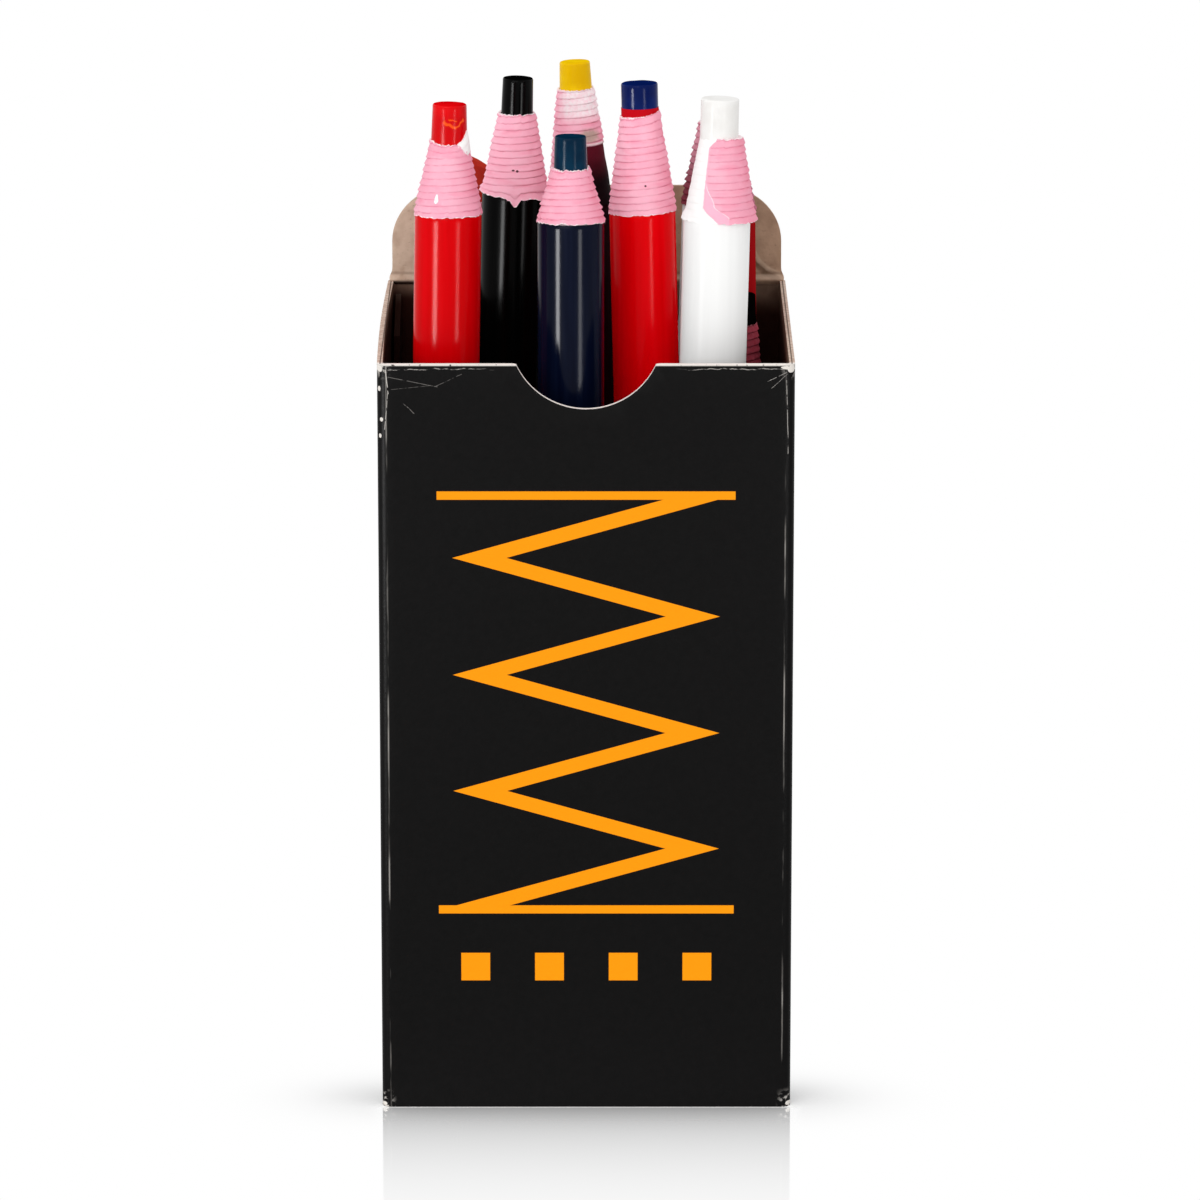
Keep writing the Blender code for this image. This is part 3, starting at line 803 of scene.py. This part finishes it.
def wind_wrap(name, shape, material, collar=0.0):
    """Wind one pencil's paper: the ribbed cone is shaped turn by turn, then led down inside the sheath."""
    stick = sticks[name]
    lip = stick.lip + sheath_gap
    cone = stick.top - lip
    turns = round(cone / strip_pitch)
    pitch = cone / turns
    base = stick.body_radius + foot_proud
    neck = stick.core_radius + shape.neck
    wrap = wind_strip(stick.name + "_wound_paper", stick.body_radius, pitch, turns)
    mesh = wrap.data
    groove = mesh.attributes.new("groove", "FLOAT", "POINT")
    torn = mesh.attributes.new("torn", "FLOAT", "POINT")
    seed = 7.3 * len(stick.name) + 31.0 * stick.length
    foot_loop = set()
    top_loop = set()
    for index, vertex in enumerate(mesh.vertices):
        sweep = math.atan2(vertex.co.y, vertex.co.x) / math.tau
        level = vertex.co.z / pitch - 0.5
        share = level / turns
        angle = math.degrees(math.atan2(vertex.co.x, -vertex.co.y))
        turn = math.radians(angle)
        sine = math.sin(turn)
        cosine = math.cos(turn)
        phase = (level - sweep) % 1.0
        whirl = Vector((sine * 1.5, cosine * 1.5, level * 0.9 + seed))
        fine = Vector((sine * 6.0, cosine * 6.0, level * 0.35 + seed))
        lift = min(1.0, phase / 0.14) * (1 - phase * 0.92)
        strand = Vector((math.floor(level - sweep) * 3.1 + seed, sine * 1.2, cosine * 1.2))
        lift *= 0.75 + 0.4 * noise.noise(fine) + 0.6 * noise.noise(strand)
        slim = max(0.0, share) ** shape.waist
        radius = base + (neck - base) * slim + 0.00018 * share * (1 - share)
        bare = shape.bare(angle, level * pitch * 1000) if shape.bare else 0.0
        ribbed = 1.0 - (shape.smooth(angle, level * pitch * 1000) if shape.smooth else 0.0)
        ribbed *= shape.rise * (0.85 + 0.55 * abs(sine))
        radius += ribbed * (lift - 0.3) + 0.00006 * noise.noise(whirl)
        radius -= bare * 0.00016
        height = lip + level * pitch + 0.00005 * noise.noise(fine * 0.7)
        height += (shape.tilt[0] * sine - shape.tilt[1] * cosine) * radius
        ragged = Vector((sine * 8.0, cosine * 8.0, seed))
        rag = 0.0002 * noise.noise(ragged) + 0.00018 * noise.noise(ragged * 2.7)
        upper = soft_step(share, 1.0 - 2.7 / turns, 1.0)
        lower = 1.0 - soft_step(share, 0.0, 1.9 / turns)
        height += upper * (edge_shift(shape.top_edge, angle) * 0.001 + rag)
        height += lower * (edge_shift(shape.foot_edge, angle) * 0.001 + rag)
        radius += (edge_shift(shape.swell, angle) + lower * edge_shift(shape.flare, angle)) * 0.001
        radius = max(radius, stick.core_radius + 0.00013)
        vertex.co = (radius * sine, -radius * cosine, height)
        groove.data[index].value = ribbed / shape.rise * max(0.0, 1.0 - min(phase, 1.0 - phase) / 0.1)
        torn.data[index].value = max(0.0, 1.0 - min(share, 1.0 - share) * turns / 0.42)
        if share < 1e-4:
            foot_loop.add(index)
        if share > 1 - 1e-4:
            top_loop.add(index)

    def extrude(radius, level=None):
        bpy.ops.mesh.extrude_region_move(TRANSFORM_OT_translate={"value": (0.0, 0.0, 0.0)})
        bpy.ops.object.mode_set(mode="OBJECT")
        for vertex in mesh.vertices:
            if vertex.select:
                vertex.co.xy *= radius / vertex.co.xy.length
                vertex.co.z = vertex.co.z if level is None else level
        bpy.ops.object.mode_set(mode="EDIT")

    grip = stick.core_radius * shape.grip
    select_parts(wrap, "edges", lambda edge: foot_loop.issuperset(edge.vertices))
    extrude(stick.body_radius - 0.0001)
    extrude(stick.wrap_radius)
    extrude(stick.wrap_radius, 0.0)
    extrude(stick.core_radius + bore_gap, 0.0)
    select_parts(wrap, "edges", lambda edge: top_loop.issuperset(edge.vertices))
    extrude(grip)
    if collar:
        extrude(grip, stick.top + collar)
        extrude(stick.core_radius, stick.top + collar)
    extrude(stick.core_radius + bore_gap, stick.top - 0.001)
    bpy.ops.mesh.select_all(action="DESELECT")
    bpy.ops.mesh.select_non_manifold()
    bpy.ops.mesh.bridge_edge_loops()
    face_outwards()
    set_in_place(wrap, stick, "paper_wrap", "pink_paper", lip, 60, material)


def pink_paper(name, marks=(), covers=(), lift=0):
    """Ribbed pink paper: marks are (blot, colour) pairs, covers give a mask and a colour, lift brightens it
    as painted light against the shade on the pencils further back.
    """
    finish = Finish(name, Specular_IOR_Level=0.06)
    angle, height = round_place(finish)
    groove = finish.add("ShaderNodeAttribute", {"attribute_name": "groove"}, {}, "Fac")
    torn = finish.add("ShaderNodeAttribute", {"attribute_name": "torn"}, {}, "Fac")
    cloud = finish.grain(330.0, 4.0)
    fibre = finish.grain(1900.0, 4.0)
    tone = finish.mix(cloud.ramp(0.3, 0.72), tint(243 + lift, 168 + lift, 189 + lift),
                      tint(244 + lift, 181 + lift, 199 + lift))
    tone = finish.mix(fibre.ramp(0.55, 0.8) * 0.3, tone, tint(249, 203, 215))
    # Painted shade: the cone turns a deeper pink towards its right side.
    right_side_shade = angle.ramp(0.0, 80.0) * (1 - angle.ramp(110.0, 170.0)) * cloud.ramp(0.2, 0.75)
    tone = finish.mix(right_side_shade * 0.75, tone, tint(240, 124, 152))
    strands = finish.grain(1100.0, 3.0, stretch=(0.22, 0.22, 1.0))
    tone = finish.mix(strands.ramp(0.52, 0.72) * 0.4, tone, tint(243, 140, 168))
    for mark, paint in marks:
        tone = finish.mix(blot(angle, height, mark, finish.grain(1300.0, 3.0)), tone, paint)
    # Painted shade: a thin darker pink line along each groove between the turns.
    line = groove * finish.grain(700.0, 3.0).ramp(0.36, 0.62) * 0.5
    edge = (torn + (fibre - 0.5) * 1.6).ramp(0.72, 1.0) * torn.ramp(0.0, 0.2)
    for cover in covers:
        share, paint = cover(finish, angle, height, fibre)
        tone = finish.mix(share, tone, paint)
        line = line * (1 - share)
        edge = edge * (1 - share)
    tone = finish.mix(line, tone, tint(216, 104, 138))
    tone = finish.mix(edge, tone, tint(252, 236, 238))
    finish.feed("Base Color", tone)
    finish.feed("Roughness", 0.75 + (fibre - 0.5) * 0.2)
    finish.relief(fibre * 0.7 + finish.grain(700.0, 3.0) * 0.3, 0.25, 0.00012)
    return finish.material


# On the red pencil the top edge is torn away on the right, down to the white of the paper.
bare_tear = ((64.0, 10.4, 38.0, 1.8), tint(250, 247, 246))
small_tear = ((-22.0, 2.6, 4.0, 0.75), tint(255, 250, 250))


def red_tear(angle, height):
    return ease(angle, 18.0, 30.0) * (1 - ease(angle, 90.0, 110.0)) * ease(height, 8.0, 8.6) * 0.8


wind_wrap("red_pencil",
          Wrap(low_rib, (0.03, -0.02), smooth=red_tear,
               top_edge=((74.0, 26.0, 1.45), (-85.0, 40.0, 0.3), (0.0, 50.0, -0.35))),
          pink_paper("red_pencil_paper", marks=(bare_tear, small_tear)))
wind_wrap("navy_pencil",
          Wrap(high_rib, (0.0, -0.05), top_edge=((86.0, 13.0, 0.5), (-80.0, 22.0, 0.2))),
          pink_paper("navy_pencil_paper"))

# On the black pencil the foot of the cone hangs down in front in a torn point.
speck = tint(96, 60, 66)
black_specks = (((-4.0, 3.9, 3.0, 0.14), speck), ((4.0, 3.8, 2.6, 0.2), speck))
wind_wrap("black_pencil",
          Wrap(low_rib, (0.02, 0.0),
               foot_edge=((2.0, 6.5, -0.95), (-1.0, 15.0, -0.4), (85.0, 45.0, -1.1), (-85.0, 35.0, 0.4)),
               flare=((-88.0, 12.0, 0.35), (2.0, 14.0, 0.12))),
          pink_paper("black_pencil_paper", marks=black_specks, lift=11))

# On the blue pencil a turn of the red outer paper is left round the core, above the slanting pink edge.
def cone_height(name):
    return (sticks[name].top - sticks[name].lip - sheath_gap) * 1000


def red_band(finish, angle, height, fibre):
    across = (angle - 90.0) / 70.0
    edge = (across * across * -1).math("EXPONENT") * 0.75 + cone_height("blue_pencil")
    return (height - edge + (fibre - 0.5) * 0.3).ramp(-0.02, 0.06), tint(196, 4, 22)


wind_wrap("blue_pencil",
          Wrap(low_rib, (0.03, 0.0), top_edge=((90.0, 70.0, 0.75),), neck=0.00042, grip=1.135),
          pink_paper("blue_pencil_paper", marks=(((7.0, 4.2, 2.2, 0.16), speck),), covers=(red_band,),
                     lift=11),
          collar=0.0012)

# On the white pencil the left half of the cone is bare white paper; the pink layer ends there in a torn
# edge with its lower corner folded over.
white_cone = cone_height("white_pencil")


def tear_edge(height):
    """Degrees at which the pink layer ends, by height in millimetres above the foot."""
    return -28.0 + 20.0 * ease(height, white_cone - 1.4, white_cone) + 30.0 * (1 - ease(height, -0.3, 2.4))


def fold_crease(height):
    return -24.0 + 17.0 * (1 - ease(height, 2.5, 5.3)) + 26.0 * (1 - ease(height, 0.7, 2.5))


def torn_away(angle, height):
    return (1 - ease(angle - tear_edge(height), -1.5, 1.5)) * ease(angle, -152.0, -148.0)


def folded_over(angle, height):
    left_of_crease = 1 - ease(angle - fold_crease(height), -1.0, 1.0)
    return left_of_crease * (1 - torn_away(angle, height)) * ease(angle, -60.0, -50.0)


def bare_white(finish, angle, height, fibre):
    return torn_away(angle + (fibre - 0.5) * 6, height), tint(250, 248, 247)


def smooth_fold(finish, angle, height, fibre):
    return folded_over(angle, height) * 0.8, tint(254, 186, 208)


def crease_line(finish, angle, height, fibre):
    line = 0.6 - abs(angle - fold_crease(height)).ramp(0.4, 1.5) * 0.6
    line = line * height.ramp(0.4, 0.9) * (1 - height.ramp(5.0, 5.6))
    return line * fibre.ramp(0.3, 0.45), tint(255, 240, 244)


def flattened(angle, height):
    return folded_over(angle, height) + 0.8 * torn_away(angle, height)


wind_wrap("white_pencil",
          Wrap(low_rib, flare=((90.0, 50.0, 0.3), (-88.0, 36.0, 0.4)), neck=0.00045,
               swell=((82.0, 60.0, 0.6),), bare=torn_away, smooth=flattened),
          pink_paper("white_pencil_paper", covers=(bare_white, smooth_fold, crease_line)))

# On the yellow pencil the upper turns are rubbed pale with a grey stain, and below them the right half of
# the cone is cut smooth and painted dark wine: a painted cast shadow of the pencils in front, darkest
# towards its foot.
def cut_smooth(angle, height):
    return ease(angle, -24.0, -18.0) * (1 - ease(angle, 146.0, 152.0)) * (1 - ease(height, 8.6, 8.9))


def rubbed_pale(finish, angle, height, fibre):
    share = angle.ramp(-75.0, -20.0) * (1 - angle.ramp(100.0, 140.0)) * height.ramp(11.6, 14.0)
    return share * (0.6 + fibre.ramp(0.3, 0.65) * 0.35), tint(254, 245, 247)


def grey_stain(finish, angle, height, fibre):
    away = hypotenuse((angle - 30.0) / 42.0, (height - 10.2) / 1.5)
    return (1 - (away + (fibre - 0.5) * 0.5).ramp(0.3, 1.0)) * 0.75, tint(166, 160, 136)


def wine_shadow(finish, angle, height, fibre):
    # Painted cast shadow: dark wine on the smooth cut, darkest towards the foot.
    shadow_tone = finish.mix(height.ramp(3.0, 8.4), tint(20, 3, 7), tint(92, 18, 34))
    return cut_smooth(angle, height), shadow_tone


def pale_rim(finish, angle, height, fibre):
    line = 1 - abs(height - 8.95 + (fibre - 0.5) * 0.4).ramp(0.08, 0.22)
    return line * angle.ramp(-24.0, -18.0) * (1 - angle.ramp(146.0, 152.0)), tint(238, 214, 216)


wind_wrap("yellow_pencil",
          Wrap(low_rib, bare=cut_smooth, smooth=cut_smooth),
          pink_paper("yellow_pencil_paper", covers=(rubbed_pale, grey_stain, wine_shadow, pale_rim), lift=11))


# The four pencils at the back are stubs; their papers are painted darker, a painted shade where they stand
# deep among the others, the rear white one darkest towards its foot.
def stub_shade(finish, angle, height, fibre):
    return 0.5 + fibre * 0.3, tint(142, 52, 76)


def deep_stub_shade(finish, angle, height, fibre):
    return 0.8 + fibre * 0.2, tint(146, 26, 44)


def shade_towards_foot(finish, angle, height, fibre):
    return 0.95 - height.ramp(1.0, 11.0) * 0.7, tint(120, 24, 44)


stub = Wrap(stub_rib)
stub_paper = pink_paper("stub_paper", covers=(stub_shade,))
wind_wrap("rear_white_pencil", stub, pink_paper("rear_white_paper", covers=(shade_towards_foot,)))
for name in ("brown_pencil", "rear_red_pencil"):
    wind_wrap(name, stub, stub_paper)
wind_wrap("short_black_pencil", Wrap(high_rib, neck=0.00016, waist=0.3),
          pink_paper("short_stub_paper", covers=(deep_stub_shade,)))


# Pull strings: a cotton thread laid along each core under the wound paper, which hides it.
# Its solid stays as it is.
thread = Finish("cotton_thread", Specular_IOR_Level=0.2)
twist = thread.grain(3000.0, 2.0, stretch=(1.0, 1.0, 0.3))
thread.feed("Base Color", thread.mix(twist, tint(214, 206, 190), tint(240, 236, 226)))
thread.feed("Roughness", 0.7 + twist * 0.2)
for name in sticks:
    frame["nodes"][name + "_pull_string"].material_slots[0].material = thread.material


# Studio: a wide white floor that mirrors the carton's foot a little, a strip lamp on each side of the
# camera for highlights, one large soft lamp in front, and the camera where the carton's corners line up.
def white_where_seen(wiring):
    """1 for the rays from the camera, from a reflection or through something clear."""
    seen = wiring.add("ShaderNodeLightPath", {}, {}, "Is Camera Ray")
    return seen | (seen.output("Is Glossy Ray") | seen.output("Is Transmission Ray"))


def grey(share):
    """A colour of the floor with the same share in all three channels."""
    return floor_finish.add("ShaderNodeCombineColor", {}, dict.fromkeys(("Red", "Green", "Blue"), share))


white = tint(255, 255, 255)
floor_finish = Finish("studio_floor", Specular_IOR_Level=0.0, Roughness=0.9, Emission_Strength=1.0)
x, y, _ = floor_finish.millimetres()
across = (abs(x) - half) | 0.0
aside = across / 11.5
behind = (y + half - 3.0) / 8.0
near = (aside * aside * -1 - behind * behind).math("EXPONENT")
seen = white_where_seen(floor_finish)
floor_finish.feed("Emission Color", grey(seen * (1 - near * 0.77)))
floor_finish.feed("Base Color", grey(0.8 * (1 - seen * (1 - near))))
ahead = (-half - y) | 0.0
sheen = (ahead / -21.0).math("EXPONENT") * 0.55
sheen = sheen * (1 - y.ramp(-half - 0.2, -half)) * (1 - across.ramp(0.2, 2.0))
mirror = floor_finish.add("ShaderNodeBsdfGlossy", {}, {"Color": white, "Roughness": 0.06})
blend = floor_finish.add("ShaderNodeMixShader", {}, {0: sheen, 2: mirror})
floor_finish.tree.links.new(floor_finish.shader.outputs[0], blend.socket.node.inputs[1])
floor_finish.tree.links.new(blend.socket, floor_finish.tree.nodes["Material Output"].inputs["Surface"])
bpy.ops.mesh.primitive_plane_add(size=12.0, location=(0.0, 0.0, -0.00005))
floor = new_piece("studio_floor")
floor.data.materials.append(floor_finish.material)


def lamp(name, azimuth, distance, middle, width, height, power, highlight=False):
    """A soft lamp that faces the carton, its azimuth in degrees from the camera towards the right."""
    turn = math.radians(azimuth)
    light = bpy.data.lights.new(name, "AREA")
    light.shape = "RECTANGLE"
    light.size = width
    light.size_y = height
    light.energy = power
    place = Vector((distance * math.sin(turn), -distance * math.cos(turn), middle))
    stand = bpy.data.objects.new(name, light)
    stand.location = place
    stand.rotation_euler = (Vector((0.0, 0.0, 0.11)) - place).to_track_quat("-Z", "Y").to_euler()
    stand.visible_camera = False
    stand.visible_diffuse = not highlight
    bpy.context.scene.collection.objects.link(stand)


strip = {"distance": 0.25, "middle": 0.0725, "height": 0.093, "highlight": True}
lamp("left_strip", azimuth=-42.0, width=0.05, power=0.95, **strip)
lamp("right_strip", azimuth=30.0, width=0.044, power=0.25, **strip)
lamp("front_fill", azimuth=-22.0, distance=1.4, middle=0.6, width=1.1, height=0.8, power=7.0)

world = bpy.data.worlds.new("studio")
world.use_nodes = True
bpy.context.scene.world = world
world_light = 0.89
level = world_light + white_where_seen(Wiring(world.node_tree)) * (1 - world_light)
background = world.node_tree.nodes["Background"]
background.inputs["Color"].default_value = white
world.node_tree.links.new(level.socket, background.inputs["Strength"])

camera_data = bpy.data.cameras.new("camera")
camera_data.sensor_width = 36.0
camera_data.lens = 217.65
camera_data.clip_start = 0.05
camera = bpy.data.objects.new("camera", camera_data)
camera.location = (0.00195, -1.0179, 0.3271)
camera_dip = math.radians(14.31)
camera.rotation_euler = (math.pi / 2 - camera_dip, 0.0, 0.0)
bpy.context.scene.collection.objects.link(camera)
bpy.context.scene.camera = camera
bpy.context.scene.view_settings.view_transform = "Standard"
